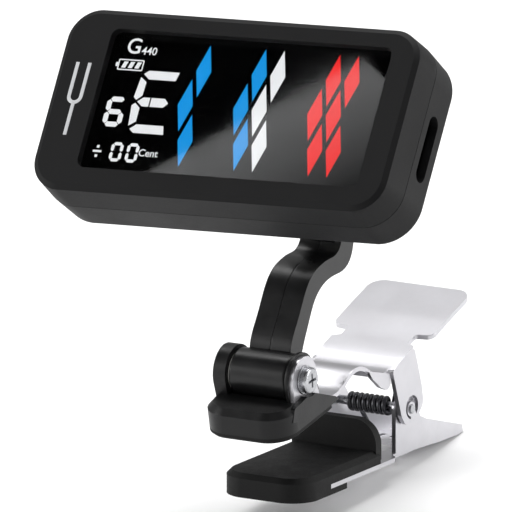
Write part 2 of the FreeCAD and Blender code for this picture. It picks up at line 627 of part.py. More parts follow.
# ---------------------------------------------------------------- ball stud
stud_axis = head_turn.multVec(Vector(0, 1, 0))
root = head_place.multVec(Vector(HEAD_CENTRE_X, depth, 1.0))
ball = Part.makeSphere(size("ball_r"), ball_centre)
neck = Part.makeCylinder(2.0, size("stud_reach") - 1.5, root - stud_axis * 1.5, stud_axis)
collar = Part.makeCylinder(3.4, 1.2, root + stud_axis * 1.5, stud_axis)
skirt = Part.makeCone(3.0, 2.0, 3.0, root + stud_axis * (size("boss_tall") + 0.3), stud_axis)
stud = doc.addObject("Part::Feature", "stud_shape")
stud.Shape = ball.fuse([neck, collar, skirt]).removeSplitter()
keep(stud, "ball_stud")

# ---------------------------------------------------------------- head
W, H = size("head_wide"), size("head_high")
CX, CZ = HEAD_CENTRE_X, -0.42


def section(depth_at, grow, radius):
    """One rounded outline of the head at a depth behind its face."""
    half_w, half_h = W / 2 + grow, H / 2 + grow
    pts = [(CX - half_w, CZ - half_h), (CX + half_w, CZ - half_h), (CX + half_w, CZ + half_h), (CX - half_w, CZ + half_h)]
    edges = [item.toShape() for item in rounded(pts, radius)]
    wire = Part.Wire(Part.__sortEdges__(edges))
    wire.rotate(Vector(), X_AXIS, 90)
    wire.translate(Vector(0, depth_at, 0))
    return wire


def loft(stations):
    return Part.makeLoft([section(*item) for item in stations], True, True)


flare, bevel, bd, fw, rw = size("flare"), size("bevel_in"), size("bevel_depth"), size("front_wall"), size("rear_wall")
shell, corner_r = size("shell"), size("corner")
part_line = bd + fw
PART_GAP = 0.12
front_outer = loft([(0.0, -flare - bevel + 0.5, corner_r - 1.9), (bd, -flare, corner_r - 1.0)]).fuse(
    loft([(bd, -flare, corner_r - 1.0), (part_line - PART_GAP, 0.0, corner_r)]))
front_inner = loft([(shell + 1.9, -flare - shell, corner_r - 2.4), (part_line + 1.0, -shell, corner_r - 1.5)])
taper = size("rear_taper")
rear_outer = loft([(part_line, 0.0, corner_r), (depth, -taper, corner_r + 0.4)])
rear_outer = rear_outer.makeFillet(0.8, [e for e in rear_outer.Edges if e.BoundBox.YMin > depth - 0.01])
rear_inner = loft([(part_line - 1.0, -shell, corner_r - 1.5), (depth - shell, -taper - shell, corner_r - 1.2)])
window_cut = Part.makeBox(size("window_wide"), 10, size("window_high"),
                          Vector(-size("window_wide") / 2, -1, -size("window_high") / 2))
window_cut = window_cut.makeFillet(1.6, [e for e in window_cut.Edges if abs(e.BoundBox.YLength - 10) < 1e-6])
lens_w, lens_h = size("window_wide") + 2.4, size("window_high") + 2.0
lens_seat = Part.makeBox(lens_w + 0.1, size("lens_thick") + 0.8, lens_h + 0.1,
                         Vector(-lens_w / 2 - 0.05, size("lens_depth"), -lens_h / 2 - 0.05))
front_shape = front_outer.cut([front_inner, window_cut, lens_seat])

slot_z, slot_len, slot_wide, slot_y = -1.2, 12.5, 3.5, part_line + 3.6
slot_tool = Part.makeBox(6.0, slot_wide, slot_len, Vector(CX + W / 2 - 4.0, slot_y - slot_wide / 2, slot_z - slot_len / 2))
slot_tool = slot_tool.makeFillet(slot_wide / 2 - 0.01, [e for e in slot_tool.Edges if abs(e.BoundBox.XLength - 6.0) < 1e-6])

boss = Part.makeCylinder(size("boss_r"), size("boss_tall") + shell, Vector(CX, depth - shell, 1.0), Y_AXIS)
boss = boss.makeFillet(1.2, [e for e in boss.Edges if e.BoundBox.YMin > depth + size("boss_tall") - 0.01])
rear_shape = rear_outer.cut(rear_inner).fuse(boss)
collar_space = Part.makeCylinder(3.5, 4.3, Vector(CX, depth - shell - 0.01, 1.0), Y_AXIS)
neck_space = Part.makeCylinder(2.06, 30, Vector(CX, depth - 3, 1.0), Y_AXIS)
skirt_space = Part.makeCylinder(3.2, 6, Vector(CX, depth + size("boss_tall") - 0.2, 1.0), Y_AXIS)
screw_xy = [(CX + sx * 31.0, CZ + sz * 13.2) for sx in (-1, 1) for sz in (-1, 1)]
posts, post_holes, screw_solids = [], [], []
for px, pz in screw_xy:
    posts.append(Part.makeCylinder(2.1, rw - 0.2, Vector(px, part_line, pz), Y_AXIS))
    post_holes.append(Part.makeCylinder(0.85, 20, Vector(px, part_line - 1, pz), Y_AXIS))
    post_holes.append(Part.makeCylinder(1.6, 3.0, Vector(px, depth - 1.6, pz), Y_AXIS))
    shaft = Part.makeCylinder(0.8, rw + 2.0, Vector(px, part_line - 3.2, pz), Y_AXIS)
    cap = Part.makeCylinder(1.5, 0.9, Vector(px, depth - 1.55, pz), Y_AXIS)
    screw_solids.append(shaft.fuse(cap))
rear_shape = rear_shape.fuse(posts).cut(post_holes + [collar_space, neck_space, slot_tool])
front_posts = []
for px, pz in screw_xy:
    outer_post = Part.makeCylinder(2.1, fw - 1.2, Vector(px, 1.4, pz), Y_AXIS)
    front_posts.append(outer_post)
pilot = [Part.makeCylinder(0.8, 20, Vector(px, part_line - 3.2, pz), Y_AXIS) for px, pz in screw_xy]
front_shape = front_shape.fuse(front_posts).cut(pilot + [lens_seat])

BUTTONS = (("power_button", -22.0), ("mode_button", -13.0), ("pitch_button", -4.0))
button_y = part_line + 3.7
top_z = CZ + H / 2 - 0.07
button_r = size("button_r")
wells = [Part.makeCylinder(button_r + 0.12, 8, Vector(x, button_y, top_z - 4), Z_AXIS) for _, x in BUTTONS]
rear_shape = rear_shape.cut(wells)

for name, shape in (("front_cover", front_shape), ("rear_cover", rear_shape)):
    made = doc.addObject("Part::Feature", name + "_shape")
    made.Shape = sorted(shape.removeSplitter().Solids, key=lambda s: s.Volume)[-1]
    keep(made, name, head_place)


def plate(name, wide, thick, high, x, y, z, radius=0.0):
    """A flat rounded block of the head, standing on its own sketch."""
    block = new_body(name)
    face = sketch(block, name + "_face", "XZ_Plane", -y)
    pts = [(x - wide / 2, z - high / 2), (x + wide / 2, z - high / 2), (x + wide / 2, z + high / 2), (x - wide / 2, z + high / 2)]
    outline(face, pts, radius)
    if isinstance(thick, str):
        pad(block, face, alias=thick, reverse=True)
    else:
        pad(block, face, length=thick, reverse=True)
    keep(block, name, head_place)
    return block


lens_y = size("lens_depth")
plate("display_lens", lens_w, "Sizes.lens_thick", lens_h, 0, lens_y, 0, 1.8)
panel_y = lens_y + size("lens_thick") + 0.05
plate("display_panel", 57.2, 0.75, 27.6, 0, panel_y, 0)
plate("backlight_panel", 54.2, 1.2, 25.6, 0, panel_y + 0.8, 0)
board_y = panel_y + 2.3
plate("circuit_board", 54.0, 1.0, 29.0, 0, board_y, CZ, 1.0)
plate("battery_cell", 34.0, 3.6, 22.0, -9.0, board_y + 1.2, -0.5, 2.0)
socket_y = slot_y
plate("charging_socket", 7.4, 3.2, 8.9, CX + W / 2 - 6.2, socket_y - 1.6, slot_z, 1.0)

disc = doc.addObject("Part::Cylinder", "sensor_disc")
disc.Radius = 6.0
disc.Height = 0.5
disc.Placement = Placement()
keep(disc, "vibration_sensor", head_place.multiply(Placement(Vector(17.0, board_y + 1.3, 1.0), Rotation(X_AXIS, -90))))

for label, x in BUTTONS:
    cap = doc.addObject("Part::Cylinder", label + "_cap")
    cap.setExpression("Radius", "Sizes.button_r")
    cap.Height = 2.3
    keep(cap, label, head_place.multiply(Placement(Vector(x, button_y, top_z - shell - 0.3), Rotation())))

screw_part = doc.addObject("Part::Feature", "housing_screw_shapes")
screw_part.Shape = Part.makeCompound(screw_solids)
keep(screw_part, "housing_screws", head_place)

retainer = Part.makeCylinder(5.4, 0.7, Vector(CX, depth - shell - 0.75, 1.0), Y_AXIS).cut(
    Part.makeCylinder(2.4, 3, Vector(CX, depth - shell - 2, 1.0), Y_AXIS))
retainer_part = doc.addObject("Part::Feature", "retainer_shape")
retainer_part.Shape = retainer
keep(retainer_part, "stud_retainer", head_place)

# ---------------------------------------------------------------- check and write
doc.recompute()
for obj in doc.Objects:
    if any(flag in obj.State for flag in ("Invalid", "Error")):
        raise RuntimeError("%s is %s" % (obj.Name, obj.State))
for obj, name in PARTS:
    if obj.Shape.isNull() or not obj.Shape.isValid():
        raise RuntimeError(name + " has no valid shape")
    obj.Shape.exportStep("parts/%s.step" % name)
    box = obj.Shape.BoundBox
    print("%-18s solids %d vol %.1f  x %.1f..%.1f y %.1f..%.1f z %.1f..%.1f" % (
        name, len(obj.Shape.Solids), obj.Shape.Volume, box.XMin, box.XMax, box.YMin, box.YMax, box.ZMin, box.ZMax))
print("BALL", ball_centre, "STEM", stem_dir, "ROOT", root)
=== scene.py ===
"""Clip-on instrument tuner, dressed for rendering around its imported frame.

Sizes are millimetres in the dataclasses and become metres through MM. Pieces on the display head
are made in the head's own frame (x to the right, y to the back, z up the window) and then placed.
"""

import logging
import math
from dataclasses import dataclass, field
from enum import Enum
from typing import Any, Callable, Iterable, Optional, Sequence

import bpy
from mathutils import Matrix, Vector


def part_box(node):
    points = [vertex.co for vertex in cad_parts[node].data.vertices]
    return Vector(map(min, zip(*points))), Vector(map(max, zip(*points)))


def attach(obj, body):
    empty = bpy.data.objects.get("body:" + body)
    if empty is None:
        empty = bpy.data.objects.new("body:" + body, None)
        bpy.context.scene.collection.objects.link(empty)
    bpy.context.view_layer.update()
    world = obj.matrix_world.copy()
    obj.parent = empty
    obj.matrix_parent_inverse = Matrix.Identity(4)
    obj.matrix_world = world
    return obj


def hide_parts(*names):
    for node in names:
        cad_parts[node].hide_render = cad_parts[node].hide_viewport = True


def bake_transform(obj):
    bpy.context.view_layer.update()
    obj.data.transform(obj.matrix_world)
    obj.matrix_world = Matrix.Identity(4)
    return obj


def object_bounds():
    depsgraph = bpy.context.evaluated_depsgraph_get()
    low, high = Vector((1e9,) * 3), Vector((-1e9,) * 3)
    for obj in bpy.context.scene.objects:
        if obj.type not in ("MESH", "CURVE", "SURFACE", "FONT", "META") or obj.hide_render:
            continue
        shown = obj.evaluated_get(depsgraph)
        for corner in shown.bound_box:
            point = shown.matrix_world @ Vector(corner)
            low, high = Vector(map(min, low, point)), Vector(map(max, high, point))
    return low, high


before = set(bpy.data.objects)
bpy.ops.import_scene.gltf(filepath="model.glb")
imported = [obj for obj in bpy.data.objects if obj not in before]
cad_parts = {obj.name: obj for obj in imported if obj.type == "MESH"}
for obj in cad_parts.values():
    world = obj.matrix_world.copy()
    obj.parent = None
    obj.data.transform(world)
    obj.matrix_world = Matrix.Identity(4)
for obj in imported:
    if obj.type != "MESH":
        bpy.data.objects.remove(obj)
CAD_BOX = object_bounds()

LOG = logging.getLogger("tuner")
MM = 0.001
Point = Sequence[float]


class Body(str, Enum):
    """The rigid bodies that pieces ride on."""

    LOWER_JAW = "lower_jaw"
    UPPER_JAW = "upper_jaw"
    ARM = "arm"
    BALL = "ball"
    HEAD = "head"
    POWER_KEY = "power_key"
    MODE_KEY = "mode_key"
    PITCH_KEY = "pitch_key"


# ------------------------------------------------------------------ finishes


def linear(colour: str) -> tuple[float, float, float, float]:
    """Turn an sRGB hex colour into linear red, green, blue and alpha.

    Args:
        colour: six hex digits, with or without a leading hash.

    Returns:
        The four linear channels.
    """
    digits = colour.lstrip("#")
    channels = [int(digits[i:i + 2], 16) / 255 for i in (0, 2, 4)]
    red, green, blue = (c / 12.92 if c <= 0.04045 else ((c + 0.055) / 1.055) ** 2.4 for c in channels)
    return red, green, blue, 1.0


def add_node(tree: bpy.types.NodeTree, kind: str, settings: Optional[dict[str, Any]] = None,
             links: Optional[dict[Any, Any]] = None) -> bpy.types.Node:
    """Add a shader node, set its properties and inputs, and link other nodes into it.

    Args:
        tree: the material's node tree.
        kind: the node's type name.
        settings: property names, or input names and numbers, with their values.
        links: input names or numbers, with the output socket that feeds each.

    Returns:
        The new node.
    """
    node = tree.nodes.new(kind)
    for key, value in (settings or {}).items():
        if isinstance(key, int) or key in node.inputs:
            node.inputs[key].default_value = value
        else:
            setattr(node, key, value)
    for key, source in (links or {}).items():
        tree.links.new(source, node.inputs[key])
    return node


@dataclass(frozen=True)
class Finish:
    """A surface finish, named for the real material and how its surface was made."""

    name: str
    colour: str
    second: str
    metallic: float = 0.0
    roughness: float = 0.5
    spread: float = 0.08
    ior: float = 1.5
    shine: float = 0.5
    grain_mm: float = 0.45
    grain_height_mm: float = 0.006
    stretch: tuple[float, float, float] = (1.0, 1.0, 1.0)
    blotch_mm: float = 9.0
    blotch: float = 0.5
    coat: float = 0.0
    slot: str = "shell_plastic"

    def material(self) -> bpy.types.Material:
        """Return the material, built on first use."""
        found = bpy.data.materials.get(self.name)
        return found if found else self.build()

    def build(self) -> bpy.types.Material:
        """Build the node tree: colour drift, patchy roughness and a fine surface relief.

        Returns:
            The new material.
        """
        made = bpy.data.materials.new(self.name)
        made.use_nodes = True
        tree = made.node_tree
        shader = tree.nodes["Principled BSDF"]
        shader.inputs["Metallic"].default_value = self.metallic
        if not self.metallic:
            shader.inputs["IOR"].default_value = self.ior
            shader.inputs["Specular IOR Level"].default_value = self.shine
        shader.inputs["Coat Weight"].default_value = self.coat
        shader.inputs["Coat Roughness"].default_value = 0.12
        place = add_node(tree, "ShaderNodeTexCoord").outputs["Object"]
        turned = add_node(tree, "ShaderNodeMapping", {"Scale": self.stretch}, {"Vector": place}).outputs[0]
        blotches = add_node(tree, "ShaderNodeTexNoise",
                            {"Scale": 1 / (self.blotch_mm * MM), "Detail": 4.0, "Roughness": 0.6},
                            {"Vector": place})
        grain = add_node(tree, "ShaderNodeTexNoise",
                         {"Scale": 1 / (self.grain_mm * MM), "Detail": 3.0, "Roughness": 0.55},
                         {"Vector": turned})
        drift = add_node(tree, "ShaderNodeMapRange",
                         {"From Min": 0.35, "From Max": 0.68, "To Min": 0.0, "To Max": self.blotch},
                         {"Value": blotches.outputs["Fac"]})
        tint = add_node(tree, "ShaderNodeMix",
                        {"data_type": "RGBA", 6: linear(self.colour), 7: linear(self.second)},
                        {0: drift.outputs[0]})
        tree.links.new(tint.outputs[2], shader.inputs["Base Color"])
        both = add_node(tree, "ShaderNodeMath", {"operation": "MULTIPLY_ADD", 1: 0.45},
                        {0: grain.outputs["Fac"], 2: blotches.outputs["Fac"]})
        rough = add_node(tree, "ShaderNodeMapRange",
                         {"From Min": 0.45, "From Max": 1.0, "To Min": self.roughness - self.spread,
                          "To Max": self.roughness + self.spread}, {"Value": both.outputs[0]})
        tree.links.new(rough.outputs[0], shader.inputs["Roughness"])
        relief = add_node(tree, "ShaderNodeBump", {"Strength": 1.0, "Distance": self.grain_height_mm * MM},
                          {"Height": grain.outputs["Fac"]})
        tree.links.new(relief.outputs[0], shader.inputs["Normal"])
        return made


@dataclass(frozen=True)
class ClearAcrylic:
    """Cast acrylic window: clear, polished, with a faint smear that softens its reflections."""

    name: str = "cast acrylic, polished"
    roughness: float = 0.02
    smear_mm: float = 14.0
    slot: str = "window_glass"

    def material(self) -> bpy.types.Material:
        """Build the clear window material.

        Returns:
            The material, built on first use.
        """
        found = bpy.data.materials.get(self.name)
        if found:
            return found
        made = bpy.data.materials.new(self.name)
        made.use_nodes = True
        tree = made.node_tree
        shader = tree.nodes["Principled BSDF"]
        shader.inputs["Base Color"].default_value = linear("#F4F6F8")
        shader.inputs["Transmission Weight"].default_value = 1.0
        shader.inputs["IOR"].default_value = 1.49
        place = add_node(tree, "ShaderNodeTexCoord").outputs["Object"]
        smear = add_node(tree, "ShaderNodeTexNoise", {"Scale": 1 / (self.smear_mm * MM), "Detail": 5.0},
                         {"Vector": place})
        rough = add_node(tree, "ShaderNodeMapRange",
                         {"From Min": 0.4, "From Max": 0.75, "To Min": self.roughness,
                          "To Max": self.roughness + 0.05}, {"Value": smear.outputs["Fac"]})
        tree.links.new(rough.outputs[0], shader.inputs["Roughness"])
        return made


@dataclass(frozen=True)
class LitSegment:
    """A lit display segment: it glows evenly, a little softer towards its blotches."""

    name: str
    colour: str
    strength: float = 1.1
    dimming: float = 0.06
    slot: str = "display_black"

    def material(self) -> bpy.types.Material:
        """Build the glowing material.

        Returns:
            The material, built on first use.
        """
        found = bpy.data.materials.get(self.name)
        if found:
            return found
        made = bpy.data.materials.new(self.name)
        made.use_nodes = True
        tree = made.node_tree
        shader = tree.nodes["Principled BSDF"]
        shader.inputs["Base Color"].default_value = linear("#050505")
        shader.inputs["Roughness"].default_value = 0.4
        shader.inputs["Emission Strength"].default_value = self.strength
        place = add_node(tree, "ShaderNodeTexCoord").outputs["Object"]
        cloud = add_node(tree, "ShaderNodeTexNoise", {"Scale": 1 / (4.0 * MM)}, {"Vector": place})
        edge = add_node(tree, "ShaderNodeMapRange",
                        {"From Min": 0.3, "From Max": 0.7, "To Min": 0.0, "To Max": self.dimming},
                        {"Value": cloud.outputs["Fac"]})
        glow = add_node(tree, "ShaderNodeMix",
                        {"data_type": "RGBA", 6: linear(self.colour), 7: linear("#202020")},
                        {0: edge.outputs[0]})
        tree.links.new(glow.outputs[2], shader.inputs["Emission Color"])
        return made


# Spark-eroded ABS: even charcoal, finely pitted, so its highlights are broad and dull.
SHELL_ABS = Finish("ABS, spark-eroded", "#0F0F10", "#131314", roughness=0.55, spread=0.06, shine=0.16,
                   grain_mm=0.38, grain_height_mm=0.012, blotch_mm=16.0, slot="shell_plastic")
# Polished-mould nylon: nearly black with a satin sheen and faint flow marks.
ARM_NYLON = Finish("nylon, satin moulded", "#0B0B0C", "#111112", roughness=0.34, spread=0.08, shine=0.4,
                   grain_mm=0.6, grain_height_mm=0.006, blotch_mm=7.0, slot="arm_plastic")
# Fine-grained ABS of the jaw: black and satin, a little shinier on worn corners.
JAW_ABS = Finish("ABS, fine grained", "#0D0D0E", "#151516", roughness=0.4, spread=0.1, shine=0.3,
                 grain_mm=0.4, grain_height_mm=0.008, blotch_mm=5.0, slot="cover_plastic")
# Moulded silicone rubber: matt black, with dust that lightens it in patches.
PAD_SILICONE = Finish("silicone rubber, moulded", "#0D0D0D", "#191919", roughness=0.62, spread=0.1, shine=0.2,
                      grain_mm=0.5, grain_height_mm=0.012, blotch_mm=4.0, slot="pad_rubber")
# Nickel-plated spring steel: bright and cool, with rolling marks along the lever and soft smudges.
LEVER_NICKEL = Finish("nickel-plated spring steel, rolled", "#C8C7CB", "#BBBBBF",
                      metallic=1.0, roughness=0.33, spread=0.04, grain_mm=0.5, grain_height_mm=0.0025,
                      stretch=(2.2, 0.25, 2.2), blotch_mm=7.0,
                      slot="lever_steel")
# Turned and zinc-plated steel: brighter ridges from the die that headed it.
SCREW_ZINC = Finish("zinc-plated steel, cold headed", "#B9BABD", "#8F9094", metallic=1.0, roughness=0.3,
                    spread=0.12, grain_mm=0.35, grain_height_mm=0.004, blotch_mm=1.5, slot="screw_steel")
# Oil-tempered spring wire: dark grey with drawn streaks along the wire.
SPRING_WIRE = Finish("spring wire, oil tempered", "#59595C", "#2C2C2E",
                     metallic=1.0, roughness=0.34, spread=0.12,
                     grain_mm=0.3, grain_height_mm=0.003, blotch_mm=1.2, slot="spring_steel")
# Back-painted display glass: deep neutral black that takes a clear gloss.
PANEL_BLACK = Finish("display glass, back painted", "#010102", "#030304",
                     roughness=0.3, spread=0.03, shine=0.03,
                     grain_mm=0.8, grain_height_mm=0.0005, blotch_mm=20.0, slot="display_black")
DIFFUSER_SHEET = Finish("polycarbonate, frosted", "#E6E6E2", "#D8D8D4", roughness=0.55, slot="diffuser_white")
BOARD_RESIST = Finish("glass epoxy, green resist", "#14502C", "#1B6236", roughness=0.35, grain_mm=1.0,
                      slot="board_green")
CELL_FOIL = Finish("aluminium laminate foil", "#B6B8BC", "#A3A5A9",
                   metallic=1.0, roughness=0.35, blotch_mm=5.0,
                   slot="cell_foil")
SOCKET_STEEL = Finish("stainless steel, deep drawn", "#9A9B9E", "#7D7E81", metallic=1.0, roughness=0.3,
                      blotch_mm=2.0, slot="socket_metal")
SENSOR_BRASS = Finish("brass, stamped", "#B99A55", "#A58546",
                      metallic=1.0, roughness=0.35, slot="sensor_brass")
LINER_ACETAL = Finish("acetal, moulded", "#DAD9D3", "#CFCEC8", roughness=0.42, slot="liner_plastic")
# Screen ink: thin, pale and slightly chalky.
PALE_INK = Finish("screen ink, pale grey", "#BFC0C2", "#A9AAAD", roughness=0.55, spread=0.06, grain_mm=0.3,
                  grain_height_mm=0.004, blotch_mm=3.0, slot="shell_plastic")
WINDOW_ACRYLIC = ClearAcrylic()
GLOW_WHITE = LitSegment("lit segment, white", "#FFFFFF", 1.0)
GLOW_BLUE = LitSegment("lit segment, blue", "#0A9EEE", 1.0)
GLOW_RED = LitSegment("lit segment, red", "#FF0400", 1.0)


# ------------------------------------------------------------------ modelling by hand


def deselect() -> None:
    """Leave edit mode and deselect every object."""
    if bpy.context.object and bpy.context.object.mode != "OBJECT":
        bpy.ops.object.mode_set(mode="OBJECT")
    bpy.ops.object.select_all(action="DESELECT")


def pick(piece: bpy.types.Object) -> None:
    """Make one object the only selected and the active one."""
    deselect()
    piece.select_set(True)
    bpy.context.view_layer.objects.active = piece


def edit(piece: bpy.types.Object, chosen: Optional[Callable[[Any], bool]] = None) -> None:
    """Enter edit mode with a chosen set of faces selected.

    Args:
        piece: the mesh object to edit.
        chosen: a test on each polygon; everything is selected when it is None.
    """
    pick(piece)
    bpy.ops.object.mode_set(mode="EDIT")
    bpy.ops.mesh.select_mode(type="FACE")
    if chosen is None:
        bpy.ops.mesh.select_all(action="SELECT")
        return
    bpy.ops.mesh.select_all(action="DESELECT")
    bpy.ops.object.mode_set(mode="OBJECT")
    for polygon in piece.data.polygons:
        polygon.select = chosen(polygon)
    bpy.ops.object.mode_set(mode="EDIT")


def done() -> None:
    """Return to object mode."""
    bpy.ops.object.mode_set(mode="OBJECT")


def apply_place(piece: bpy.types.Object, place: Optional[Matrix] = None) -> None:
    """Move an object's place, and an optional further one, into its mesh.

    Args:
        piece: the mesh object.
        place: a matrix to put in front of the object's own.
    """
    bpy.context.view_layer.update()
    matrix = piece.matrix_world.copy()
    piece.data.transform(place @ matrix if place else matrix)
    piece.matrix_world = Matrix.Identity(4)
    piece.data.update()


def use(piece: bpy.types.Object, kind: str, **settings: Any) -> None:
    """Add a modifier with its settings and apply it."""
    pick(piece)
    modifier = piece.modifiers.new(kind.title(), kind)
    for key, value in settings.items():
        setattr(modifier, key, value)
    bpy.ops.object.modifier_apply(modifier=modifier.name)


def smooth(piece: bpy.types.Object, degrees: float = 32.0) -> None:
    """Shade a piece smooth except across sharp edges."""
    pick(piece)
    bpy.ops.object.shade_smooth_by_angle(angle=math.radians(degrees))


def finish_piece(piece: bpy.types.Object, name: str, body: Body, finish: Any,
                 stands_for: Iterable[str] = ()) -> bpy.types.Object:
    """Name a piece, give it its finish and let it ride on its body.

    Args:
        piece: the finished mesh object, at the origin.
        name: the piece's name.
        body: the body that carries it.
        finish: the surface finish.
        stands_for: the CAD nodes that it replaces.

    Returns:
        The same object.
    """
    piece.name = name
    piece.data.name = name
    piece.data.materials.clear()
    piece.data.materials.append(finish.material())
    for node in stands_for:
        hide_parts(node)
    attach(piece, body.value)
    LOG.info("%s: %d faces", name, len(piece.data.polygons))
    return piece


def softened(node: str, body: Body, finish: Any, edge_mm: float, segments: int = 2,
             angle: float = 28.0) -> bpy.types.Object:
    """Build the shown piece of a CAD node with its edges broken as moulding or tumbling leaves them.

    Args:
        node: the CAD node.
        body: the body that carries the piece.
        finish: the surface finish.
        edge_mm: how wide the broken edges are.
        segments: steps across each broken edge.
        angle: edges sharper than this many degrees are broken.

    Returns:
        The new piece.
    """
    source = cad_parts[node]
    piece = bpy.data.objects.new(node + "_shown", source.data.copy())
    bpy.context.scene.collection.objects.link(piece)
    edit(piece)
    bpy.ops.mesh.remove_doubles(threshold=0.002 * MM)
    bpy.ops.mesh.dissolve_limited(angle_limit=math.radians(0.4))
    bpy.ops.mesh.normals_make_consistent(inside=False)
    done()
    if edge_mm > 0:
        use(piece, "BEVEL", width=edge_mm * MM, segments=segments, limit_method="ANGLE",
            angle_limit=math.radians(angle), harden_normals=False, use_clamp_overlap=True)
    smooth(piece)
    use(piece, "WEIGHTED_NORMAL", keep_sharp=True)
    return finish_piece(piece, node + "_shown", body, finish, [node])


def dress_node(node: str, finish: Any) -> None:
    """Give a CAD node that stays as it is its material."""
    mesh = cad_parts[node].data
    mesh.materials.clear()
    mesh.materials.append(finish.material())


def join(pieces: Sequence[bpy.types.Object]) -> bpy.types.Object:
    """Join mesh objects into the first of them."""
    deselect()
    for piece in pieces:
        piece.select_set(True)
    bpy.context.view_layer.objects.active = pieces[0]
    if len(pieces) > 1:
        bpy.ops.object.join()
    return pieces[0]


# ------------------------------------------------------------------ display head


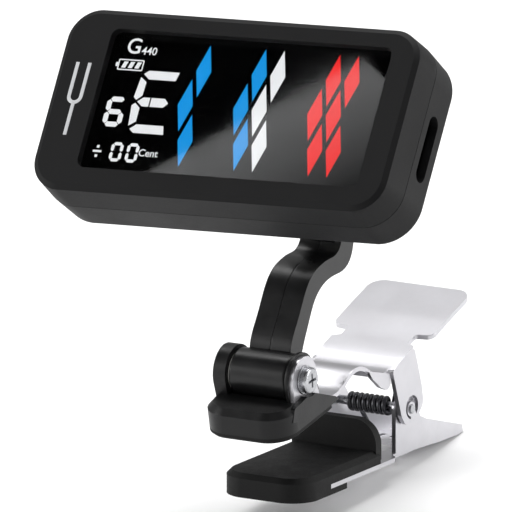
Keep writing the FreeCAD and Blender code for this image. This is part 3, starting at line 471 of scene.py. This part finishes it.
@dataclass
class DisplayHead:
    """The display head: shells, window, display and its keys."""

    tilt: float = 39.9
    roll: float = -3.1
    lens_middle: float = 2.2
    panel_depth: float = 2.85
    glyph_thick: float = 0.035
    bar_half_wide: float = 1.5
    bar_half_high: float = 5.0
    bar_pitch: float = 3.72
    bar_first: float = 1.88
    row_step: float = 6.7
    row_middle: float = 0.65
    shell_edge: float = 0.25
    bezel_middle: float = -32.1
    offset_digits: tuple[float, float] = (-22.3, -19.1)
    columns: dict[int, Any] = field(default_factory=lambda: {
        -3: GLOW_BLUE, 0: GLOW_BLUE, 1: GLOW_WHITE, 4: GLOW_RED, 5: GLOW_RED})

    def place(self) -> Matrix:
        """Return the head's frame: its origin is the window's centre on the face."""
        low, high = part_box("display_lens")
        turn = (Matrix.Rotation(math.radians(-self.tilt), 4, "X")
                @ Matrix.Rotation(math.radians(self.roll), 4, "Y"))
        origin = (low + high) / 2 - turn.to_3x3() @ Vector((0, self.lens_middle * MM, 0))
        return Matrix.Translation(origin) @ turn

    def flat(self, points: Sequence[Point], lift: float = 0.0) -> bpy.types.Object:
        """Make a thin closed plate from an outline on the display.

        Args:
            points: the outline's corners in head millimetres, x and z.
            lift: how far in front of the panel it lies, in millimetres.

        Returns:
            The plate, still in the head's frame.
        """
        deselect()
        bpy.ops.mesh.primitive_circle_add(vertices=len(points), radius=1.0, fill_type="NGON")
        plate = bpy.context.object
        depth = self.panel_depth - lift
        ordered = sorted(plate.data.vertices, key=lambda v: v.index)
        for vertex, (x, z) in zip(ordered, points):
            vertex.co = Vector((x, depth, z)) * MM
        edit(plate)
        bpy.ops.mesh.extrude_region_move(TRANSFORM_OT_translate={"value": (0, -self.glyph_thick * MM, 0)})
        bpy.ops.mesh.select_all(action="SELECT")
        bpy.ops.mesh.normals_make_consistent(inside=False)
        done()
        return plate

    def copied(self, plate: bpy.types.Object, x: float, z: float) -> bpy.types.Object:
        """Copy a plate, with its own mesh, to another spot of the display."""
        twin = plate.copy()
        twin.data = plate.data.copy()
        twin.data.transform(Matrix.Translation(Vector((x, 0, z)) * MM))
        bpy.context.scene.collection.objects.link(twin)
        return twin

    def stroke(self, start: Point, end: Point, wide: float, cut: float = 0.0) -> bpy.types.Object:
        """Make one straight segment of a digit, with its ends cut to points.

        Args:
            start: x and z of one end, in millimetres.
            end: x and z of the other.
            wide: the segment's width.
            cut: how much of each end is pointed.

        Returns:
            The segment.
        """
        first, last = Vector(start), Vector(end)
        along = (last - first).normalized()
        side = Vector((-along.y, along.x)) * wide / 2
        tip = along * cut
        outline = [first, first + tip - side, last - tip - side, last, last - tip + side, first + tip + side]
        if cut <= 0:
            outline = [first - side, last - side, last + side, first + side]
        return self.flat([tuple(p) for p in outline])

    def show(self, parts: Sequence[bpy.types.Object], name: str, finish: Any) -> bpy.types.Object:
        """Join display parts and put them on the head."""
        piece = join(parts)
        apply_place(piece, self.place())
        return finish_piece(piece, name, Body.HEAD, finish)

    def word(self, text: str, x: float, z: float, high: float, slant: float = 0.0) -> bpy.types.Object:
        """Make a short readout in the built-in typeface, centred on a spot of the display."""
        deselect()
        bpy.ops.object.text_add()
        letters = bpy.context.object
        letters.data.body = text
        letters.data.size = high * MM / 0.7
        letters.data.align_x = "CENTER"
        letters.data.align_y = "CENTER"
        letters.data.shear = slant
        letters.data.offset = 0.012 * high * MM
        letters.data.extrude = self.glyph_thick * MM / 2
        letters.data.resolution_u = 5
        bpy.ops.object.convert(target="MESH")
        made = bpy.context.object
        stand = Matrix.Rotation(math.radians(90), 4, "X")
        shift = Matrix.Translation(Vector((x, self.panel_depth - self.glyph_thick / 2, z)) * MM)
        made.data.transform(shift @ stand)
        return made

    def bars(self) -> None:
        """Build the slanted pitch bars: one diamond, copied along the columns and rows."""
        half_w, half_h = self.bar_half_wide, self.bar_half_high
        diamond = self.flat([(0, half_h), (half_w, 0), (0, -half_h), (-half_w, 0)])
        groups: dict[str, list[bpy.types.Object]] = {}
        finishes: dict[str, Any] = {}
        for column, finish in self.columns.items():
            for row in (-1, 0, 1):
                x = self.bar_first + self.bar_pitch * column - (self.bar_pitch / 2 if row == 0 else 0.0)
                copy = self.copied(diamond, x, self.row_middle + self.row_step * row)
                groups.setdefault(finish.name, []).append(copy)
                finishes[finish.name] = finish
        bpy.data.objects.remove(diamond)
        for key, parts in groups.items():
            self.show(parts, "pitch_bars_" + key.split(", ")[1], finishes[key])

    def digit(self, x: float, z: float, wide: float, high: float, line: float,
              lit: str) -> list[bpy.types.Object]:
        """Build a seven-segment figure.

        Args:
            x: its centre.
            z: its centre.
            wide: distance between its upright segments' centre lines.
            high: distance between its top and bottom segments' centre lines.
            line: the segments' width.
            lit: the lit segments, by the usual letters a to g.

        Returns:
            The segments.
        """
        left, right, low, top = x - wide / 2, x + wide / 2, z - high / 2, z + high / 2
        gap = line * 0.12
        ends = {
            "a": ((left, top), (right, top)), "d": ((left, low), (right, low)), "g": ((left, z), (right, z)),
            "f": ((left, top), (left, z)), "e": ((left, z), (left, low)),
            "b": ((right, top), (right, z)), "c": ((right, z), (right, low)),
        }
        made = []
        for letter in lit:
            start, end = Vector(ends[letter][0]), Vector(ends[letter][1])
            step = (end - start).normalized() * gap
            made.append(self.stroke(start + step, end - step, line, line * 0.42))
        return made

    def readout(self) -> None:
        """Build the note name, octave, offset, mode and battery readouts."""
        note_x, note_z, reach, stroke = -17.85, 0.75, 5.1, 1.65
        lean = 0.9
        note = [
            self.flat([(note_x - 3.1, note_z + reach + 0.2), (note_x - 2.2, note_z + reach + 0.9),
                       (note_x + 3.9, note_z + reach + 0.9), (note_x + 3.5, note_z + reach - stroke + 0.9),
                       (note_x - 1.9, note_z + reach - stroke + 0.9)]),
            self.flat([(note_x - 3.5, note_z + reach - 0.4), (note_x - 2.2, note_z + reach - 1.3),
                       (note_x - 2.2 - lean * 0.1, note_z + 1.2), (note_x - 3.3, note_z + 0.3),
                       (note_x - 3.9, note_z + 0.8)]),
            self.flat([(note_x - 3.0, note_z), (note_x - 1.9, note_z + 0.85), (note_x - 0.6, note_z + 0.85),
                       (note_x - 0.6, note_z - 0.85), (note_x - 1.9, note_z - 0.85)]),
            self.flat([(note_x - 0.3, note_z + 0.85), (note_x + 2.4, note_z + 0.85), (note_x + 3.2, note_z),
                       (note_x + 2.4, note_z - 0.85), (note_x - 0.3, note_z - 0.85)]),
            self.flat([(note_x - 3.3, note_z - 0.3), (note_x - 2.2, note_z - 1.2),
                       (note_x - 2.2, note_z - reach + 1.3), (note_x - 3.5, note_z - reach + 0.4),
                       (note_x - 3.9, note_z - 0.8)]),
            self.flat([(note_x - 1.9, note_z - reach + stroke - 0.9),
                       (note_x + 3.5, note_z - reach + stroke - 0.9),
                       (note_x + 3.9, note_z - reach - 0.9), (note_x - 2.2, note_z - reach - 0.9),
                       (note_x - 3.1, note_z - reach - 0.2)]),
        ]
        self.show(note, "readout_note", GLOW_WHITE)
        small = self.digit(-24.8, -1.5, 2.9, 4.8, 0.95, "acdefg")
        self.show(small, "readout_octave", GLOW_WHITE)
        offset = []
        for x in self.offset_digits:
            offset += self.digit(x, -9.1, 1.8, 3.1, 0.6, "abcdef")
        sign = [self.stroke((-27.0, -9.2), (-25.3, -9.2), 0.4),
                self.stroke((-26.4, -8.3), (-25.9, -8.3), 0.5),
                self.stroke((-26.4, -10.1), (-25.9, -10.1), 0.5)]
        self.show(offset + sign, "readout_offset", GLOW_WHITE)
        words = [self.word("G", -24.3, 11.1, 2.9), self.word("Cent", -15.9, -9.0, 1.35),
                 self.word("440", -21.1, 10.4, 1.45)]
        self.show(words, "readout_words", GLOW_WHITE)
        self.battery_icon()

    def battery_icon(self) -> None:
        """Build the small battery sign: an open outline, its terminal and three slanted cells."""
        x, z, half_w, half_h, line = -24.1, 7.6, 2.45, 0.95, 0.22
        corners = [(x - half_w, z - half_h), (x + half_w, z - half_h), (x + half_w, z + half_h),
                   (x - half_w, z + half_h)]
        parts = [self.stroke(corners[i], corners[(i + 1) % 4], line) for i in range(4)]
        parts.append(self.stroke((x - half_w - 0.35, z - 0.4), (x - half_w - 0.35, z + 0.4), 0.4))
        for step in (-1.25, 0.1, 1.45):
            left = x + step
            parts.append(self.flat([(left - 0.55, z - 0.6), (left + 0.25, z - 0.6), (left + 0.65, z + 0.6),
                                    (left - 0.15, z + 0.6)]))
        self.show(parts, "readout_battery", GLOW_WHITE)

    def fork_sign(self) -> None:
        """Print a plain tuning fork on the wide left bezel, as one flattened bent rod."""
        deselect()
        x, top, bend, low, prong, turns = self.bezel_middle, 6.5, 0.0, -7.5, 1.2, 14
        route = [(x - prong, top), (x - prong, bend)]
        route += [(x - prong * math.cos(math.pi * i / turns), bend - prong * math.sin(math.pi * i / turns))
                  for i in range(1, turns)]
        route += [(x + prong, bend), (x + prong, top)]
        rods = []
        for line in (route, [(x, bend - prong), (x, low)]):
            curve = bpy.data.curves.new("fork_line", "CURVE")
            curve.dimensions = "3D"
            curve.bevel_depth = 0.35 * MM
            curve.bevel_resolution = 3
            curve.use_fill_caps = True
            spline = curve.splines.new("POLY")
            spline.points.add(len(line) - 1)
            for point, (px, pz) in zip(spline.points, line):
                point.co = (px * MM, 0, pz * MM, 1)
            rod = bpy.data.objects.new("fork_rod", curve)
            bpy.context.scene.collection.objects.link(rod)
            pick(rod)
            bpy.ops.object.convert(target="MESH")
            rods.append(bpy.context.object)
        sign = join(rods)
        sign.data.transform(Matrix.Scale(0.07, 4, (0, 1, 0)))
        apply_place(sign, self.place())
        smooth(sign, 40)
        finish_piece(sign, "bezel_fork_sign", Body.HEAD, PALE_INK)

    def shells(self) -> None:
        """Build the two shells, the window and the three keys."""
        softened("front_cover", Body.HEAD, SHELL_ABS, self.shell_edge, 3)
        softened("rear_cover", Body.HEAD, SHELL_ABS, self.shell_edge, 3)
        softened("display_lens", Body.HEAD, WINDOW_ACRYLIC, 0.15, 2)
        softened("housing_screws", Body.HEAD, SCREW_ZINC, 0.1)
        for node, body in (("power_button", Body.POWER_KEY), ("mode_button", Body.MODE_KEY),
                           ("pitch_button", Body.PITCH_KEY)):
            softened(node, body, JAW_ABS, 0.3, 4)

    def insides(self) -> None:
        """Dress the parts behind the window and in the shells."""
        dress_node("display_panel", PANEL_BLACK)
        dress_node("backlight_panel", DIFFUSER_SHEET)
        dress_node("circuit_board", BOARD_RESIST)
        dress_node("battery_cell", CELL_FOIL)
        dress_node("charging_socket", SOCKET_STEEL)
        dress_node("vibration_sensor", SENSOR_BRASS)
        dress_node("stud_retainer", SOCKET_STEEL)

    def build(self) -> None:
        """Build the whole head."""
        self.shells()
        self.insides()
        self.bars()
        self.readout()
        self.fork_sign()


# ------------------------------------------------------------------ arm and ball joint


@dataclass
class Arm:
    """The moulded arm, its hinge barrel and the ball joint behind the head."""

    moulded_edge: float = 0.45

    def build(self) -> None:
        """Build the arm's halves, barrel, ball and screws."""
        for node in ("arm_left_half", "arm_right_half"):
            softened(node, Body.ARM, ARM_NYLON, self.moulded_edge, 3, 34.0)
        softened("hinge_barrel", Body.ARM, ARM_NYLON, 0.5, 4)
        softened("arm_screws", Body.ARM, SCREW_ZINC, 0.1)
        softened("ball_stud", Body.BALL, SCREW_ZINC, 0.15)
        dress_node("socket_liners", LINER_ACETAL)


# ------------------------------------------------------------------ clip


@dataclass
class Clip:
    """The sprung clip: two plated levers, the plastic jaw cover, rubber pads, hinge screw and spring."""

    metal_edge: float = 0.12
    plastic_edge: float = 0.35
    rubber_edge: float = 0.35
    wire: float = 0.44
    coil: float = 1.34
    coil_half: float = 4.0
    leg_down: float = 55.0
    leg_up: float = 65.0
    lower_leg: float = 9.8
    upper_leg: float = 13.4
    steps: int = 20

    def spring_line(self) -> list[Vector]:
        """Return the spring wire's centre line, from the lower leg's tip to the upper one's."""
        low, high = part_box("pivot_pin")
        pivot = (low + high) / 2
        down, up = math.radians(self.leg_down), math.radians(self.leg_up)
        first = math.pi / 2 - down
        winding = 16 * math.pi - (math.pi - down - up)
        count = int(winding / (2 * math.pi) * self.steps)

        def at(turned: float) -> Vector:
            angle = first + turned
            return pivot + MM * Vector((self.coil_half * (2 * turned / winding - 1),
                                        self.coil * math.cos(angle), self.coil * math.sin(angle)))

        line = [at(winding * i / count) for i in range(count + 1)]
        tip_low = line[0] + self.lower_leg * MM * Vector((0, math.cos(down), -math.sin(down)))
        tip_high = line[-1] + self.upper_leg * MM * Vector((0, math.cos(up), math.sin(up)))
        return [tip_low] + line + [tip_high]

    def spring(self) -> None:
        """Wind the torsion spring; its turns share the levers' opening between them."""
        line = self.spring_line()
        curve = bpy.data.curves.new("spring_line", "CURVE")
        curve.dimensions = "3D"
        curve.bevel_depth = self.wire * MM
        curve.bevel_resolution = 4
        curve.use_fill_caps = True
        spline = curve.splines.new("POLY")
        spline.points.add(len(line) - 1)
        for point, spot in zip(spline.points, line):
            point.co = (*spot, 1)
        coil = bpy.data.objects.new("torsion_spring_wound", curve)
        bpy.context.scene.collection.objects.link(coil)
        pick(coil)
        bpy.ops.object.convert(target="MESH")
        coil = bpy.context.object
        smooth(coil, 45)
        coil.name = "torsion_spring_wound"
        coil.data.materials.clear()
        coil.data.materials.append(SPRING_WIRE.material())
        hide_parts("torsion_spring")
        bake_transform(coil)

    def build(self) -> None:
        """Build the levers, pads, cover and hinge hardware."""
        softened("upper_lever", Body.UPPER_JAW, LEVER_NICKEL, self.metal_edge)
        softened("lower_lever", Body.LOWER_JAW, LEVER_NICKEL, self.metal_edge)
        softened("jaw_cover", Body.UPPER_JAW, JAW_ABS, self.plastic_edge, 3)
        softened("upper_pad", Body.UPPER_JAW, PAD_SILICONE, self.rubber_edge, 3)
        softened("lower_pad", Body.LOWER_JAW, PAD_SILICONE, self.rubber_edge, 3)
        softened("hinge_screw", Body.UPPER_JAW, SCREW_ZINC, 0.12)
        softened("hinge_washer", Body.UPPER_JAW, SCREW_ZINC, 0.08)
        softened("hinge_nut", Body.UPPER_JAW, SCREW_ZINC, 0.1)
        softened("pivot_pin", Body.LOWER_JAW, SCREW_ZINC, 0.12)
        dress_node("friction_washers", LINER_ACETAL)
        self.spring()


# ------------------------------------------------------------------ studio


@dataclass
class Studio:
    """Pale floor, soft lights, the card that the window mirrors, and the camera."""

    azimuth: float = 31.2
    elevation: float = 17.2
    roll: float = -2.5
    distance: float = 4.0
    frame_wide: float = 90.46
    sensor: float = 36.0
    aim: tuple[float, float, float] = (0.0, -13.3, 41.5)
    card_distance: float = 0.26
    card_glow: float = 1.7
    flag_distance: float = 0.3
    air: float = 0.42

    def away(self) -> Vector:
        """Return the unit vector from the object to the camera."""
        turn, lift = math.radians(self.azimuth), math.radians(self.elevation)
        return Vector((math.sin(turn) * math.cos(lift), -math.cos(turn) * math.cos(lift), math.sin(lift)))

    def camera(self) -> None:
        """Set the camera up: long lens, no shift, rolled a little."""
        lens = bpy.data.cameras.new("camera")
        lens.sensor_width = self.sensor
        lens.lens = self.sensor * self.distance / (self.frame_wide * MM)
        lens.clip_start = 0.05
        made = bpy.data.objects.new("camera", lens)
        bpy.context.scene.collection.objects.link(made)
        target = Vector(self.aim) * MM
        turn = self.away().to_track_quat("Z", "Y").to_matrix().to_4x4()
        tip = Matrix.Rotation(math.radians(self.roll), 4, "Z")
        made.matrix_world = Matrix.Translation(target + self.away() * self.distance) @ turn @ tip
        bpy.context.scene.camera = made

    def floor(self) -> None:
        """Lay the pale floor just under the object."""
        deselect()
        low = CAD_BOX[0][2]
        bpy.ops.mesh.primitive_plane_add(size=6.0, location=(0, 0, low - 0.0002))
        ground = bpy.context.object
        ground.name = "floor"
        paper = bpy.data.materials.new("backdrop paper, pale")
        paper.use_nodes = True
        shader = paper.node_tree.nodes["Principled BSDF"]
        shader.inputs["Base Color"].default_value = linear("#F6F6F6")
        shader.inputs["Roughness"].default_value = 0.9
        ground.data.materials.append(paper)

    def softbox(self, name: str, spot: Point, aim: Point, wide: float, high: float, power: float) -> None:
        """Hang one rectangular soft light.

        Args:
            name: its name.
            spot: where it hangs, in metres.
            aim: the point it faces.
            wide: its width in metres.
            high: its height in metres.
            power: watts.
        """
        lamp = bpy.data.lights.new(name, "AREA")
        lamp.shape = "RECTANGLE"
        lamp.size = wide
        lamp.size_y = high
        lamp.energy = power
        made = bpy.data.objects.new(name, lamp)
        bpy.context.scene.collection.objects.link(made)
        facing = (Vector(spot) - Vector(aim)).to_track_quat("Z", "Y").to_matrix().to_4x4()
        made.matrix_world = Matrix.Translation(Vector(spot)) @ facing

    def window_card(self, head: Matrix) -> None:
        """Hang a dim card whose straight edge the window mirrors as a slanting sheen.

        Args:
            head: the display head's frame.
        """
        inward = -self.away()
        normal = -(head.to_3x3() @ Vector((0, 1, 0)))
        bounce = inward - 2 * inward.dot(normal) * normal
        spots = [(6.0, -30.0), (47.0, -2.0), (-19.5, -13.9), (22.5, 14.2)]
        card = self.mirrored_plane("window_card", head, bounce * self.card_distance, spots)
        glow = bpy.data.materials.new("light card, graded")
        glow.use_nodes = True
        tree = glow.node_tree
        tree.nodes.remove(tree.nodes["Principled BSDF"])
        grade = add_node(tree, "ShaderNodeTexCoord").outputs["UV"]
        split = add_node(tree, "ShaderNodeSeparateXYZ", {}, {0: grade}).outputs["Y"]
        fade = add_node(tree, "ShaderNodeMapRange",
                        {"From Min": 0.0, "From Max": 1.0, "To Min": 0.0, "To Max": self.card_glow},
                        {"Value": split})
        shine = add_node(tree, "ShaderNodeEmission", {}, {"Strength": fade.outputs[0]})
        tree.links.new(shine.outputs[0], tree.nodes["Material Output"].inputs[0])
        card.data.materials.append(glow)
        spots = [(-160.0, -130.0), (160.0, -130.0), (-160.0, 130.0), (160.0, 130.0)]
        flag = self.mirrored_plane("window_flag", head, bounce * self.flag_distance, spots)
        cloth = bpy.data.materials.new("flag cloth, black")
        cloth.use_nodes = True
        shader = cloth.node_tree.nodes["Principled BSDF"]
        shader.inputs["Base Color"].default_value = linear("#050505")
        shader.inputs["Specular IOR Level"].default_value = 0.0
        flag.data.materials.append(cloth)

    def mirrored_plane(self, name: str, head: Matrix, shift: Vector,
                       spots: Sequence[tuple[float, float]]) -> bpy.types.Object:
        """Hang a plane over given spots of the window, seen by reflections alone.

        Args:
            name: the plane's name.
            head: the display head's frame.
            shift: the way from the window to the plane, in metres.
            spots: four spots on the window in millimetres, near row first, left to right.

        Returns:
            The plane.
        """
        deselect()
        bpy.ops.mesh.primitive_plane_add(size=1.0)
        plane = bpy.context.object
        plane.name = name
        for vertex, (x, z) in zip(plane.data.vertices, spots):
            vertex.co = head @ (Vector((x, 1.6, z)) * MM) + shift
        plane.visible_camera = False
        plane.visible_diffuse = False
        plane.visible_shadow = False
        return plane

    def build(self, head: Matrix) -> None:
        """Set up the camera, floor, lights and card."""
        self.camera()
        self.floor()
        centre = (0.0, 0.0, 0.04)
        self.softbox("overhead", (-0.15, 0.25, 0.95), centre, 0.9, 0.7, 9.0)
        self.softbox("left_front", (-0.75, -0.55, 0.35), centre, 0.5, 0.7, 5.0)
        self.softbox("right_rear", (0.75, 0.45, 0.3), centre, 0.35, 0.6, 4.5)
        self.window_card(head)
        world = bpy.data.worlds.new("studio air")
        world.use_nodes = True
        world.node_tree.nodes["Background"].inputs[0].default_value = linear("#FFFFFF")
        world.node_tree.nodes["Background"].inputs[1].default_value = self.air
        bpy.context.scene.world = world
        bpy.context.scene.view_settings.view_transform = "Standard"


def main() -> None:
    """Build the tuner and its studio."""
    logging.basicConfig(level=logging.INFO, format="%(message)s")
    head = DisplayHead()
    head.build()
    Arm().build()
    Clip().build()
    Studio().build(head.place())
    deselect()


if __name__ == "__main__":
    main()
